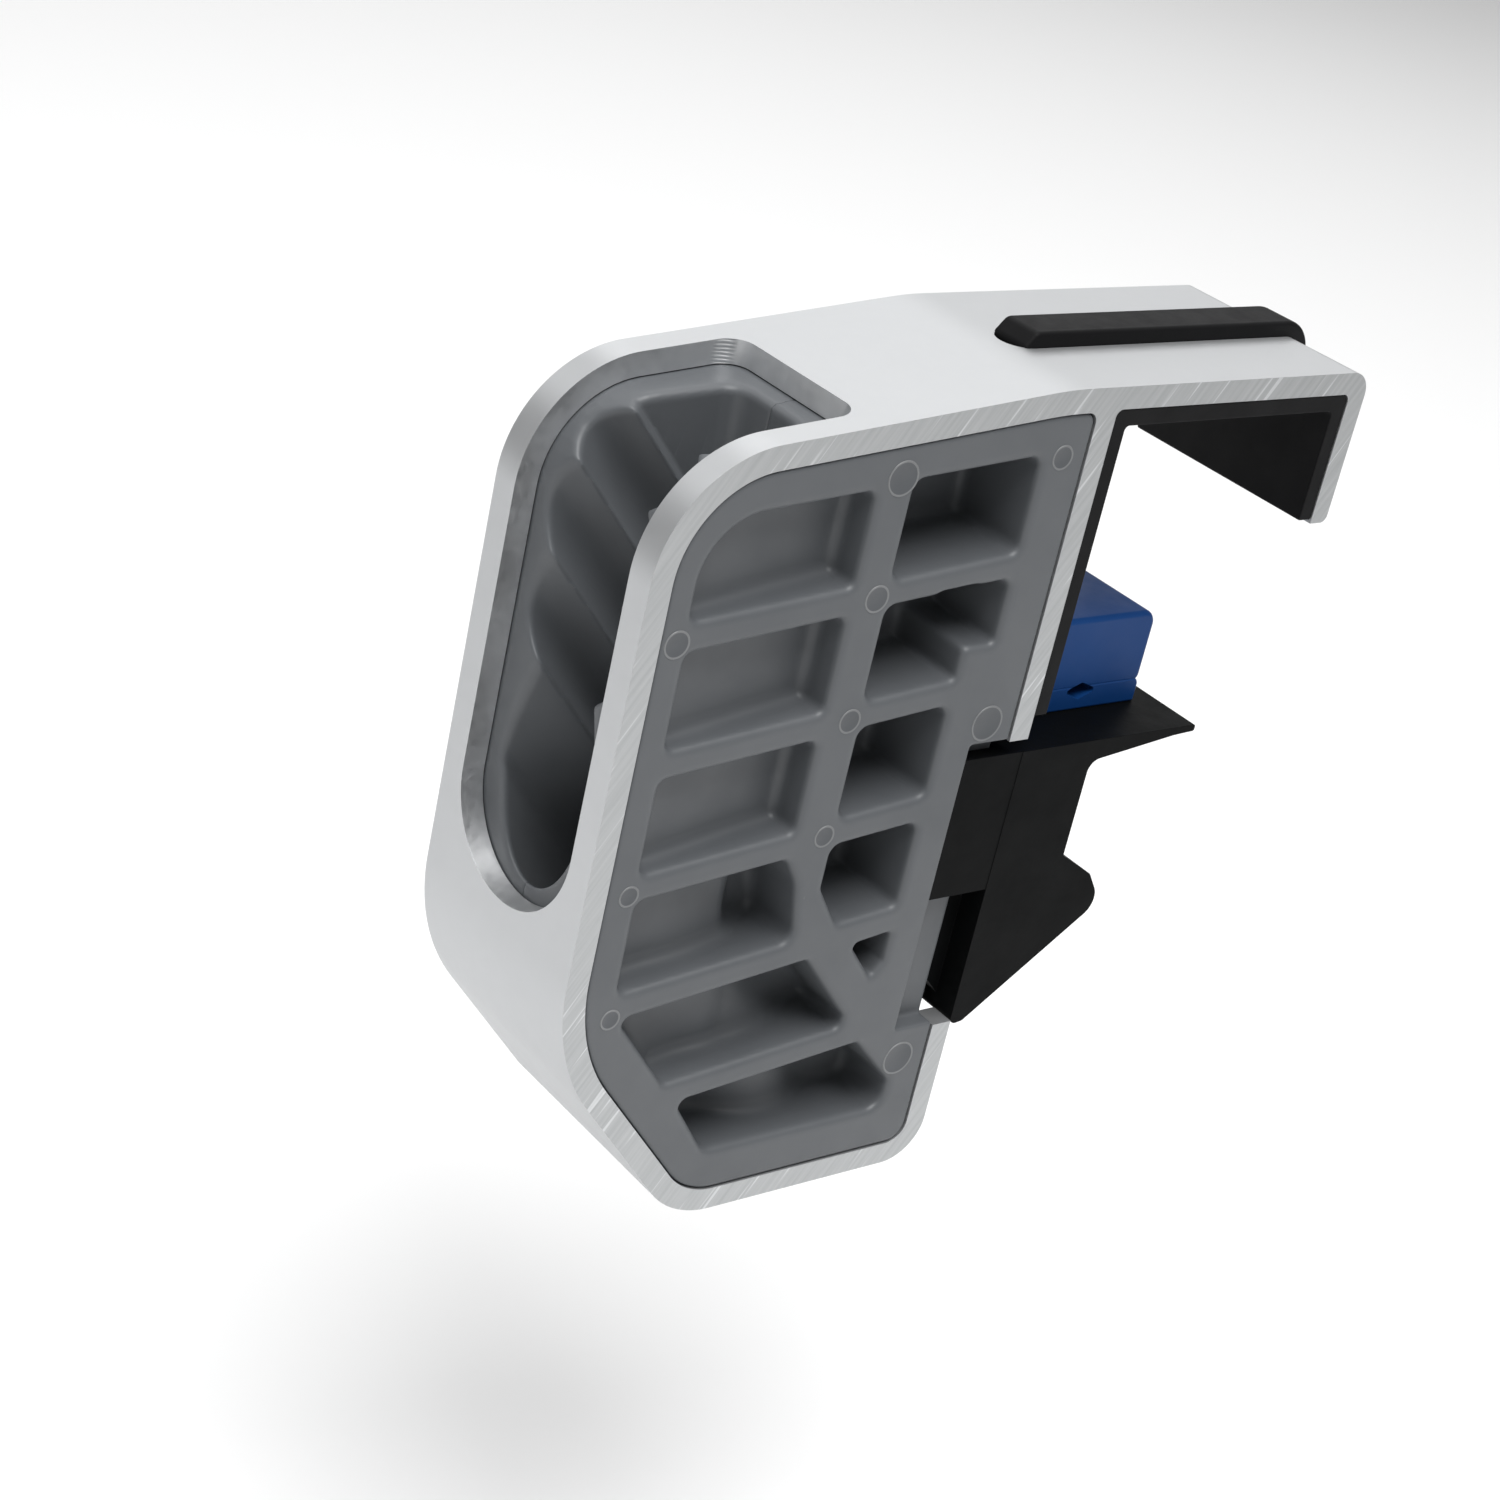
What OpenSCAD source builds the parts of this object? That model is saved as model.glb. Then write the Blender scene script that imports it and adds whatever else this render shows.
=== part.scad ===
// Rail cleat: an aluminium hook that hangs on a rail, two ribbed jaw halves
// that grip a rope, and a sprung latch that locks under the rail.
//
// Sections are drawn with X = 0 on the right face of the web, Z = 0 at the
// web's lower end and Y = 0 on the middle plane. Every part is then moved so
// that the origin is the middle of the rail seat. X runs across the rail,
// Y along it and Z up.

/* [Extrusion] */
// Length of the extrusion along the rail
cut_w = 30; // [28:0.5:34]
// Wall of the rope cell and the web
wall = 3; // [2.8:0.1:3.2]
// Width of the rope cell, outside
cell_w = 62; // [61:0.5:64]
// Depth of the rope cell below the web's lower end
cell_drop = 60.2; // [60:0.1:62]
// Height of the hook's flat top above the web's lower end
hook_top = 45.1; // [44:0.1:47]
// Slope of the cell's top, in degrees
top_slope = 6; // [4:0.5:8]
// Radius of the nose
nose_r = 15.5; // [14:0.5:17]

/* [Hook] */
// Wall of the hook's top and lip
hook_wall = 2.8; // [2.4:0.1:3.2]
// Clear width inside the bare hook
hook_gap = 39.6; // [38:0.1:42]
// Length of the lip, from the flat top down
lip_drop = 20; // [16:0.5:24]
// Thickness of the rubber liner
liner_t = 2.2; // [1.6:0.1:3]
// Width of the liner's locking rib
rib_w = 6; // [5:0.5:8]
// Height of the locking rib above the metal
rib_proud = 1.9; // [1:0.1:3]

/* [Rope way] */
// Width of the slot round the nose
slot_w = 22.5; // [21:0.5:23.5]
// Diameter of the rope hole in the bottom
rope_hole_d = 15; // [14:0.5:16]
// Half width between the jaws at the mouth
mouth_half = 9.1; // [8.6:0.1:9.4]
// Half width between the jaws at the closed end
end_half = 7.2; // [6.8:0.1:7.4]
// Height of a gripping ridge
ridge_h = 2.7; // [2:0.1:3]
// Upright distance from one ridge to the next
ridge_pitch = 12.4; // [11:0.1:13]

/* [Latch] */
// How far the latch slides down
latch_travel = 16; // [10:0.5:16]
// Height of the latch's side cheeks
cheek_h = 19.2; // [17:0.1:19.2]
// Reach of the tongue from the web's right face
tongue_reach = 30; // [27:0.5:33]
// Height of the bumper above the tongue
bumper_h = 12.7; // [11:0.1:13]

/* [Hidden] */
$fn = 64;

eps = 0.01;
half_w = cut_w / 2;
fit_gap = 0.15;

// Rail seat
lip_z = hook_top - lip_drop;
cavity_top = hook_top - hook_wall;
seat_z = cavity_top - liner_t;
seat_x = hook_gap / 2;
lip_x = hook_gap + hook_wall;

// Outline of the rope cell: corners as [x, z, radius], counter-clockwise
nose_z = 39.4;
cell_corners = [
    [0, -cell_drop, 5.75],
    [0, hook_top, 0],
    [-cell_w + (hook_top - nose_z) / tan(top_slope), hook_top, 50],
    [-cell_w, nose_z, nose_r],
    [-cell_w, -33, 28],
    [-39, -cell_drop, 12.7]
];
corner_r_min = 1.3;

// Opening in the cell's right side, where the latch slides
stub_z = -40;
slot_end_x = -35;
slot_low_z = -9;
rope_hole_x = -23;
rib_start_x = -3;
rib_low_z = lip_z + 4;

// Rope duct below the ridges: a sloping run and a drop, which meet at a knee
duct_r = 7.6;
duct_wall = 2;
duct_tilt = 40;
duct_knee_z = -48.8;
duct_run = 66;
duct_start = [rope_hole_x, duct_knee_z] + duct_run * [-sin(duct_tilt), cos(duct_tilt)];

// Ridges between the jaws
jaw_face_x = -59;
channel_end_x = -38;
ridge_low_z = 7.3;
ridge_count = 4;
ridge_angle = 49;

// Core-outs in the outside face of each jaw
rib_slope = 0.1;
deep_floor = 11.5;
duct_floor = 6.8;

// Latch
latch_half = half_w - 0.4;
latch_top = -2;
cheek_x = -9.2;
cheek_t = 2;
cheek_low = latch_top - cheek_h;
recess_low = -39.6;
latch_face_x = 0.3;
core_half = 11;
core_x = -2.75;
core_low = -38.2;
neck_half = 2.5;
neck_x = -6.2;
head_half = 4.5;
head_x = -12.6;
slide_gap = 0.3;
carriage_top = -2.6;
carriage_low = -20.6;
spring_floor = -54;
spring_x = (head_x + neck_x) / 2;
spring_r = 2.7;
spring_wire = 0.7;
spring_turns = 11;

// Bumper
bumper_half = 7;
bumper_x = [8.2, 26];
hollow_mid = [15.8, 0.6];

// Jaw screws as [x, z]
screw_at = [[-30.6, 36.4], [-7.3, 3], [-26, -23]];
screw_r = 1.25;
screw_head_r = 2.1;
screw_head_h = 1.8;
screw_tip_y = -11;
screw_seat_y = 10.5;

// ---------------------------------------------------------------- outlines

function unit(v) = v / norm(v);
function flat(c) = [c[0], c[1]];
function prev(list, i) = list[(i + len(list) - 1) % len(list)];
function next(list, i) = list[(i + 1) % len(list)];
function to_prev(list, i) = unit(flat(prev(list, i)) - flat(list[i]));
function to_next(list, i) = unit(flat(next(list, i)) - flat(list[i]));
function half_angle(list, i) = acos(to_prev(list, i) * to_next(list, i)) / 2;
function left_of(v) = [-v[1], v[0]];

// A convex outline moved inwards by d; its radii shrink with it
function inset(list, d) = [
    for (i = [0 : len(list) - 1])
        let (n1 = left_of(-to_prev(list, i)),
             n2 = left_of(to_next(list, i)),
             p = flat(list[i]) + d * (n1 + n2) / (1 + n1 * n2))
            [p[0], p[1], max(list[i][2] - d, corner_r_min)]
];

// Where a corner's rounding starts and ends, and the middle of its circle
function run_length(list, i) = list[i][2] / tan(half_angle(list, i));
function round_start(list, i) = flat(list[i]) + run_length(list, i) * to_prev(list, i);
function round_end(list, i) = flat(list[i]) + run_length(list, i) * to_next(list, i);
function round_mid(list, i) = flat(list[i])
    + list[i][2] / sin(half_angle(list, i)) * unit(to_prev(list, i) + to_next(list, i));

// A convex outline with true round corners
module rounded(list) {
    corners = [0 : len(list) - 1];
    polygon([for (i = corners) each [round_start(list, i), round_end(list, i)]]);
    for (i = corners)
        if (list[i][2] > 0)
            intersection() {
                polygon([round_mid(list, i), round_start(list, i), flat(list[i]), round_end(list, i)]);
                translate(round_mid(list, i))
                    circle(list[i][2]);
            }
}

// A section in X and Z, drawn from y0 to y1
module across(y0, y1) {
    rotate([90, 0, 0])
        translate([0, 0, -y1])
            linear_extrude(y1 - y0)
                children();
}

// A box from corner to corner
module block(low, high) {
    translate(low)
        cube(high - low);
}

// Moves a part from the section's frame to the rail seat
module at_seat() {
    translate([-seat_x, 0, -seat_z])
        children();
}

// ---------------------------------------------------------- body_extrusion

module extrusion_section() {
    difference() {
        union() {
            rounded(cell_corners);
            rounded([[-5, lip_z, 0], [lip_x, lip_z, 1], [lip_x, hook_top, 3], [-5, hook_top, 0]]);
        }
        rounded(inset(cell_corners, wall));
        rounded(hook_cavity());
        translate([-wall - eps, stub_z])
            square([wall + 1, -stub_z]);
    }
}

function hook_cavity() =
    [[0, -1, 0], [hook_gap, -1, 0], [hook_gap, cavity_top, 1], [0, cavity_top, 1]];

// The slot for the rope: through the top, round the nose and down the front
module nose_slot() {
    s = slot_w / 2;
    translate([0, 0, 20])
        linear_extrude(40)
            rounded([[-cell_w - 1, -s, 0], [slot_end_x, -s, 3], [slot_end_x, s, 3], [-cell_w - 1, s, 0]]);
    block([-cell_w - 1, -s, slot_low_z], [-cell_w + wall + 1, s, 30]);
    translate([-cell_w - 1, 0, slot_low_z])
        rotate([0, 90, 0])
            cylinder(h = wall + 2, r = s);
}

// The slot for the liner's rib: along the top and down the lip
module rib_slot() {
    translate([rib_start_x, 0, cavity_top - 1])
        cylinder(h = hook_wall + 3, d = rib_w);
    block([rib_start_x, -rib_w / 2, cavity_top - 1], [lip_x + 1, rib_w / 2, hook_top + 2]);
    block([hook_gap - 1, -rib_w / 2, rib_low_z], [lip_x + 1, rib_w / 2, hook_top]);
}

// The notch that lets the latch's core pass the cell's right wall
module core_notch() {
    block([-wall - 1, -core_half - 0.6, core_low - latch_travel - 0.3], [1, core_half + 0.6, stub_z + 1]);
}

module body_extrusion() {
    color("gainsboro")
        at_seat()
            difference() {
                across(-half_w, half_w) extrusion_section();
                nose_slot();
                rib_slot();
                core_notch();
                translate([rope_hole_x, 0, -cell_drop - 1])
                    cylinder(h = wall + 2, d = rope_hole_d);
            }
}

// -------------------------------------------------------------------- jaws

// A core-out: corners in X and Z, cut from the outside face to a depth
module core_out(corners, depth) {
    across(-half_w - 1, -half_w + depth)
        rounded(corners);
}

// A core-out between sloping ribs: left, right, top and bottom at its left end
function sloping(x0, x1, top, bottom, r, lean = 0) = [
    [x0, bottom, r],
    [x1 - lean, bottom + rib_slope * (x1 - lean - x0), r],
    [x1, top + rib_slope * (x1 - x0), r],
    [x0, top, r]
];

// Core-outs in front of the rib behind the rope channel, with a floor that
// follows the leaning wall of the channel
module shallow_core_outs() {
    intersection() {
        union() {
            core_out([[-55.4, 20.8, 1.3], [-33.3, 22.9, 1.3], [-33.3, 34.4, 1.3], [-50, 33, 6], [-55.4, 26, 5]], 6);
            core_out(sloping(-55, -33.3, 17.1, 5.2, 1.3), 6);
            core_out(sloping(-54.8, -33.3, 1.7, -10.3, 1.3), 6);
        }
        channel_skin(3.3);
    }
}

// Everything outside a skin of the given thickness round the rope channel
module channel_skin(t) {
    linear_extrude(120, center = true)
        polygon([[-62, -half_w - 2], [-62, -mouth_half - t], [-30, -end_half - t], [-30, -half_w - 2]]);
}

// Core-outs beside the rope duct; the duct's own wall bulges into them
module duct_core_outs() {
    difference() {
        union() {
            core_out([[-54.3, -25.8, 1.3], [-29.6, -23.3, 1.6], [-32.9, -11.6, 1.6], [-54.4, -13.7, 1.3]], duct_floor);
            core_out([[-53.4, -29.4, 1], [-44.6, -40.1, 1.3], [-17, -37.4, 1.3], [-26.6, -26.7, 1.3]], duct_floor);
            core_out([[-42.2, -43.1, 1], [-36, -51.4, 2.5], [-8, -51.4, 2.5], [-8, -47.4, 1.5],
                      [-14.9, -40.4, 1.5]], duct_floor);
        }
        duct_slope(duct_r + duct_wall);
        duct_drop(duct_r + duct_wall + 0.05);
    }
}

module deep_core_outs() {
    core_out([[-28, 23.1, 1.5], [-9.4, 25, 1.5], [-9.6, 37, 1.5], [-28, 35.3, 1.5]], deep_floor);
    core_out([[-27.7, 8, 1.5], [-14.2, 9.3, 1.3], [-14.2, 21.3, 1.3], [-27.7, 20, 1.5]], deep_floor);
    core_out([[-20, 13.5, 0.6], [-9.4, 13.5, 0.6], [-9.4, 21.8, 1.5], [-20, 20.8, 0.6]], deep_floor);
    core_out(sloping(-27.3, -14.2, 4.6, -7.2, 1.5), deep_floor);
    core_out([[-27.1, -16.5, 2], [-23.4, -22, 1.5], [-14.2, -21.1, 1.2], [-14.2, -9.5, 1.5], [-27.1, -10.8, 1.5]],
             deep_floor);
    core_out([[-20, -25.5, 0.6], [-15.6, -30.6, 0.6], [-14, -29, 0.4], [-14, -24.9, 0.6]], deep_floor - 3);
}

// The sloping run of the rope duct, from its knee up to the mouth
module duct_slope(r) {
    translate([rope_hole_x, 0, duct_knee_z])
        rotate([0, -duct_tilt, 0])
            cylinder(h = duct_run, r = r);
}

// The upright run, from the knee out through the bottom hole
module duct_drop(r) {
    translate([rope_hole_x, 0, -cell_drop - 5])
        cylinder(h = cell_drop + 5 + duct_knee_z, r = r);
}

module rope_duct() {
    duct_slope(duct_r);
    duct_drop(duct_r);
    translate([rope_hole_x, 0, duct_knee_z])
        sphere(duct_r + 0.08);
}

// The tapered channel above the duct
module rope_channel() {
    intersection() {
        translate([0, 0, -40])
            linear_extrude(100)
                rounded([[jaw_face_x - 3, -mouth_half, 0], [channel_end_x, -end_half, 3],
                         [channel_end_x, end_half, 3], [jaw_face_x - 3, mouth_half, 0]]);
        across(-half_w, half_w)
            polygon([duct_start + [0, 5], [rope_hole_x, duct_knee_z + 5], [-30, 60], [-70, 60]]);
    }
}

// One sloping ridge with a round crest; its flanks run on into the wall
module ridge(z) {
    lean = atan2(mouth_half - end_half, channel_end_x - jaw_face_x);
    translate([jaw_face_x, -mouth_half, z])
        rotate([0, 0, lean])
            rotate([0, ridge_angle, 0])
                rotate([0, 90, 0])
                    translate([0, 0, -12])
                        linear_extrude(60)
                            rounded([[-5.16, -1, 0], [0, ridge_h + 0.4, 1], [5.16, -1, 0]]);
}

module ridges() {
    for (k = [0 : ridge_count - 1])
        ridge(ridge_low_z + k * ridge_pitch);
}

// Slide for the latch's T-shaped carriage, with the spring's space under it
module carriage_slot() {
    block([head_x - slide_gap, -head_half - slide_gap, spring_floor],
          [neck_x + slide_gap, head_half + slide_gap, carriage_top + fit_gap]);
    block([neck_x, -neck_half - slide_gap, spring_floor],
          [1, neck_half + slide_gap, carriage_top + fit_gap]);
}

module jaw_blank() {
    across(-half_w + 0.1, 0)
        rounded(inset(cell_corners, wall + fit_gap));
}

// The jaw at Y < 0; the other one is its mirror image
module jaw_half() {
    difference() {
        jaw_blank();
        difference() {
            rope_channel();
            ridges();
        }
        rope_duct();
        shallow_core_outs();
        duct_core_outs();
        deep_core_outs();
        carriage_slot();
        block([cheek_x, -half_w - 1, recess_low], [1, -latch_half + cheek_t + 0.2, 0.2]);
        for (p = screw_at)
            translate([p[0], screw_tip_y - 0.5, p[1]])
                rotate([-90, 0, 0])
                    cylinder(h = half_w, r = screw_r + 0.05);
    }
}

module jaw_near() {
    color("dimgray")
        at_seat()
            jaw_half();
}

module jaw_far() {
    color("dimgray")
        at_seat()
            difference() {
                mirror([0, 1, 0]) jaw_half();
                for (p = screw_at)
                    translate([p[0], -1, p[1]])
                        rotate([-90, 0, 0]) {
                            cylinder(h = half_w + 2, r = screw_r + 0.15);
                            translate([0, 0, screw_seat_y + 1])
                                cylinder(h = half_w, r = screw_head_r + 0.2);
                        }
            }
}

// Three screws that clamp the jaw halves together, driven from the far side
module jaw_screws() {
    color("silver")
        at_seat()
            for (p = screw_at)
                translate([p[0], screw_tip_y, p[1]])
                    rotate([-90, 0, 0])
                        difference() {
                            union() {
                                cylinder(h = screw_seat_y - screw_tip_y, r = screw_r);
                                translate([0, 0, screw_seat_y - screw_tip_y])
                                    cylinder(h = screw_head_h, r = screw_head_r);
                            }
                            translate([0, 0, screw_seat_y - screw_tip_y + 0.5])
                                cylinder(h = screw_head_h, r = 1.1, $fn = 6);
                        }
}

// -------------------------------------------------------------- rail_liner

// The rib that stands up through the metal and locks the liner
module liner_rib() {
    r = rib_w / 2 - 0.05;
    top = hook_top + rib_proud;
    right = lip_x + rib_proud;
    intersection() {
        across(-r, r)
            difference() {
                rounded([[-7, hook_top - 2, 0], [hook_gap, cavity_top - 5, 0], [hook_gap, rib_low_z + 0.1, 0],
                         [right, rib_low_z + 0.1, 1.5], [right, top, 4.9], [-2.4, top, 2], [-7, hook_top - 0.5, 0]]);
                square([hook_gap - eps, cavity_top]);
                translate([-10, 0])
                    square([10 + eps, cavity_top + 0.1]);
            }
        union() {
            translate([rib_start_x, 0, 0])
                cylinder(h = 60, r = r);
            block([rib_start_x, -r, 0], [60, r, 60]);
        }
    }
}

module rail_liner() {
    color("black")
        at_seat() {
            across(-half_w + 0.1, half_w - 0.1)
                difference() {
                    intersection() {
                        rounded(hook_cavity());
                        union() {
                            translate([0, 3])
                                square([liner_t, 50]);
                            translate([0, lip_z + 0.5])
                                square([hook_gap, 50]);
                        }
                    }
                    rounded([[liner_t, -2, 0], [hook_gap - liner_t, -2, 0],
                             [hook_gap - liner_t, seat_z, 0.6], [liner_t, seat_z, 0.6]]);
                }
            liner_rib();
        }
}

// ------------------------------------------------------------------- latch

// Side outline of the part outside the cell, with the finger ledge
module latch_section() {
    difference() {
        union() {
            polygon([[latch_face_x, latch_top], [latch_face_x, -41], [1.7, -41], [4, -39.3], [12.5, -32.7],
                     [12.5, -4.9], [27, -3.2], [tongue_reach, -2.9], [tongue_reach, latch_top]]);
            rounded([[4, -39.3, 0], [20.9, -26.5, 2.2], [18.6, -22.1, 1.2], [12, -18, 0]]);
        }
    }
}

// Coring of the hollow latch, open towards the cell, on one side of its web
module latch_coring() {
    across(neck_half, core_half - 1.2)
        rounded([[-5, -33, 0], [1, -36, 1], [9.5, -29.5, 1], [9.5, -5.5, 1], [-5, -5.5, 0]]);
}

module latch() {
    color([0.12, 0.12, 0.13])
        at_seat()
            difference() {
                union() {
                    across(-latch_half, latch_half) latch_section();
                    across(-core_half, core_half)
                        polygon([[core_x, latch_top], [core_x, core_low + 3.2], [latch_face_x, core_low],
                                 [latch_face_x + 1, core_low], [latch_face_x + 1, latch_top]]);
                    block([core_x, -latch_half, cheek_low], [latch_face_x + eps, latch_half, latch_top]);
                    for (side = [-1, 1])
                        scale([1, side, 1])
                            block([cheek_x + 0.2, latch_half - cheek_t, cheek_low], [latch_face_x, latch_half, latch_top]);
                    block([neck_x, -neck_half, carriage_low], [0, neck_half, carriage_top]);
                    block([head_x, -head_half, carriage_low], [neck_x, head_half, carriage_top]);
                }
                latch_coring();
                mirror([0, 1, 0]) latch_coring();
                bumper_foot();
            }
}

module bumper_foot() {
    block([11, -4, latch_top - 1.2], [19, 4, latch_top + eps]);
}

// ------------------------------------------------------------ latch_bumper

module latch_bumper() {
    top = latch_top + bumper_h;
    waist = 1;
    color("mediumblue")
        at_seat() {
            across(-bumper_half, bumper_half)
                difference() {
                    union() {
                        rounded([[bumper_x[0], latch_top, 0.5], [bumper_x[1], latch_top, 0.5],
                                 [bumper_x[1], waist, 1.4], [bumper_x[0], waist, 1.4]]);
                        rounded([[bumper_x[0], waist - 0.6, 1.4], [bumper_x[1], waist - 0.6, 1.4],
                                 [bumper_x[1], top, 2], [bumper_x[0], top, 2]]);
                    }
                    translate(hollow_mid)
                        rounded([[-3, 0, 0.3], [0, -1.2, 0.3], [3, 0, 0.3], [0, 1.2, 0.3]]);
                }
            bumper_foot();
        }
}

// ------------------------------------------------------------ latch_spring

// Wire of a coil spring: rings of points along a helix, closed into a tube
module latch_spring() {
    low = spring_floor;
    high = carriage_low;
    steps = 14 * spring_turns;
    sides = 6;
    climb = high - low - spring_wire;
    points = [
        for (i = [0 : steps])
            let (a = 360 * spring_turns * i / steps, z = low + spring_wire / 2 + climb * i / steps)
                for (j = [0 : sides - 1])
                    let (b = 360 * j / sides, r = spring_r + spring_wire / 2 * cos(b))
                        [r * cos(a), r * sin(a), z + spring_wire / 2 * sin(b)]
    ];
    walls = [
        for (i = [0 : steps - 1])
            for (j = [0 : sides - 1])
                let (p = i * sides + j, q = i * sides + (j + 1) % sides)
                    [p, p + sides, q + sides, q]
    ];
    first = [for (j = [0 : sides - 1]) j];
    last = [for (j = [sides - 1 : -1 : 0]) steps * sides + j];
    color("lightsteelblue")
        at_seat()
            translate([spring_x, 0, 0])
                polyhedron(points, concat(walls, [first, last]), convexity = 10);
}

body_extrusion();
jaw_near();
jaw_far();
jaw_screws();
rail_liner();
latch();
latch_bumper();
latch_spring();
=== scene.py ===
"""Looks of the rail-mounted rope cleat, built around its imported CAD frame.

Pieces are made in millimetres in the section's own frame (X = 0 on the web's right
face, Y = 0 on the middle plane, Z = 0 at the web's lower end) and then placed in the
CAD frame, whose origin is the middle of the rail seat.
"""
import math

import bmesh
import bpy
import numpy as np
from mathutils import Matrix, Quaternion, Vector


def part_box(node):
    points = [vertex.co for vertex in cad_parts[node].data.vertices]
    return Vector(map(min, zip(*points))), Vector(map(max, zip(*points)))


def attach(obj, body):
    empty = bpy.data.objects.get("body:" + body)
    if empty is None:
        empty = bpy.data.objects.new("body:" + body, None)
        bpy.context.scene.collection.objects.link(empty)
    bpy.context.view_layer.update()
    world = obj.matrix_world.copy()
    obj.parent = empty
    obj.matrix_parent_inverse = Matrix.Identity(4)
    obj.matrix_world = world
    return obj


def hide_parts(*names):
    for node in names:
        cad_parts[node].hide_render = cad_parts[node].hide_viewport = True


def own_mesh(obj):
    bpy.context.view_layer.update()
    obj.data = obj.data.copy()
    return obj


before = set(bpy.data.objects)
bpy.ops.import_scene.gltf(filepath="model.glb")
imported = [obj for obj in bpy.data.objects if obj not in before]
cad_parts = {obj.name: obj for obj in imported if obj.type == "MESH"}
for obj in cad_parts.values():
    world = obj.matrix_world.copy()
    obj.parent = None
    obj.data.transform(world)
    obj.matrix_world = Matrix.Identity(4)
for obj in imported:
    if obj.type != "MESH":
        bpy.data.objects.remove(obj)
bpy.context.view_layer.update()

MM = 0.001

# ------------------------------------------------------------------ dimensions

CELL_W = 62.0
CELL_DROP = 60.2
HOOK_TOP = 45.1
WALL = 3.0
HOOK_WALL = 2.8
HOOK_GAP = 39.6
LIP_DROP = 20.0
NOSE_Z = 39.4
TOP_SLOPE = math.radians(6)
SLOT_W = 22.5
SLOT_END_X = -35.0
SLOT_LOW_Z = -9.0
ROPE_HOLE_R = 7.5
ROPE_HOLE_X = -23.0
RIB_W = 6.0
RIB_START_X = -3.0
STUB_Z = -40.0
SAW_LEAN = math.radians(33)

extrusion_low, extrusion_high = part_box("body_extrusion")
HALF_W = (extrusion_high.y - extrusion_low.y) / MM / 2
SECTION_ORIGIN = Vector((extrusion_low.x + CELL_W * MM, 0.0, extrusion_high.z - HOOK_TOP * MM))
LATCH_TRAVEL = 16.0
LATCH_TOP = -2.0
LATCH_HALF = HALF_W - 0.4
LATCH_FACE_X = 0.3
CHEEK_LOW = LATCH_TOP - 19.2
CHEEK_T = 2.0
CORE_HALF = 11.0
CORE_X = -2.75
CORE_LOW = -38.2
TONGUE_REACH = 30.0
LINER_T = 2.2
RIB_PROUD = 1.9
LIP_Z = HOOK_TOP - LIP_DROP
LIP_X = HOOK_GAP + HOOK_WALL
CAVITY_TOP = HOOK_TOP - HOOK_WALL
RIB_LOW_Z = LIP_Z + 4
CORNER_R_MIN = 1.3

CELL_CORNERS = [
    (0.0, -CELL_DROP, 5.75),
    (0.0, HOOK_TOP, 0.0),
    (-CELL_W + (HOOK_TOP - NOSE_Z) / math.tan(TOP_SLOPE), HOOK_TOP, 50.0),
    (-CELL_W, NOSE_Z, 15.5),
    (-CELL_W, -33.0, 28.0),
    (-39.0, -CELL_DROP, 12.7),
]


# -------------------------------------------------------------------- outlines

def inset(corners, distance):
    """Moves a convex counter-clockwise outline of (x, z, radius) inwards."""
    moved = []
    count = len(corners)
    for i, (x, z, radius) in enumerate(corners):
        here = np.array((x, z))
        before = np.array(corners[i - 1][:2]) - here
        after = np.array(corners[(i + 1) % count][:2]) - here
        before = -before / np.linalg.norm(before)
        after = after / np.linalg.norm(after)
        normal_1 = np.array((-before[1], before[0]))
        normal_2 = np.array((-after[1], after[0]))
        point = here + distance * (normal_1 + normal_2) / (1 + normal_1 @ normal_2)
        moved.append((point[0], point[1], max(radius - distance, CORNER_R_MIN)))
    return moved


def rounded(corners, step=4.0):
    """Points of a closed outline of (x, z, radius) with round corners, one every step degrees."""
    points = []
    count = len(corners)
    for i, (x, z, radius) in enumerate(corners):
        here = np.array((x, z))
        to_before = np.array(corners[i - 1][:2]) - here
        to_after = np.array(corners[(i + 1) % count][:2]) - here
        to_before = to_before / np.linalg.norm(to_before)
        to_after = to_after / np.linalg.norm(to_after)
        if radius <= 0:
            points.append(here)
            continue
        half = math.acos(float(np.clip(to_before @ to_after, -1, 1))) / 2
        between = to_before + to_after
        middle = here + radius / math.sin(half) * between / np.linalg.norm(between)
        start = here + radius / math.tan(half) * to_before - middle
        end = here + radius / math.tan(half) * to_after - middle
        first = math.atan2(start[1], start[0])
        turn = (math.atan2(end[1], end[0]) - first + math.pi) % (2 * math.pi) - math.pi
        pieces = max(2, int(math.ceil(abs(math.degrees(turn)) / step)))
        for k in range(pieces + 1):
            angle = first + turn * k / pieces
            points.append(middle + radius * np.array((math.cos(angle), math.sin(angle))))
    return points


# ------------------------------------------------------------------ mesh tools

def new_object(name, bm):
    mesh = bpy.data.meshes.new(name)
    bm.to_mesh(mesh)
    bm.free()
    obj = bpy.data.objects.new(name, mesh)
    bpy.context.scene.collection.objects.link(obj)
    return obj


def prism(name, points, low, high, axis="y"):
    """A solid whose section is an outline in X and Z (axis y), X and Y (z) or Y and Z (x)."""
    lay = {
        "y": lambda a, b, c: (a, c, b),
        "z": lambda a, b, c: (a, b, c),
        "x": lambda a, b, c: (c, a, b),
    }[axis]
    bm = bmesh.new()
    bottom = [bm.verts.new(lay(p[0], p[1], low)) for p in points]
    top = [bm.verts.new(lay(p[0], p[1], high)) for p in points]
    count = len(points)
    bm.faces.new(bottom[::-1])
    bm.faces.new(top)
    for i in range(count):
        j = (i + 1) % count
        bm.faces.new((bottom[i], bottom[j], top[j], top[i]))
    bmesh.ops.recalc_face_normals(bm, faces=bm.faces)
    return new_object(name, bm)


def rectangle(x0, z0, x1, z1):
    return [(x0, z0), (x1, z0), (x1, z1), (x0, z1)]


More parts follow.
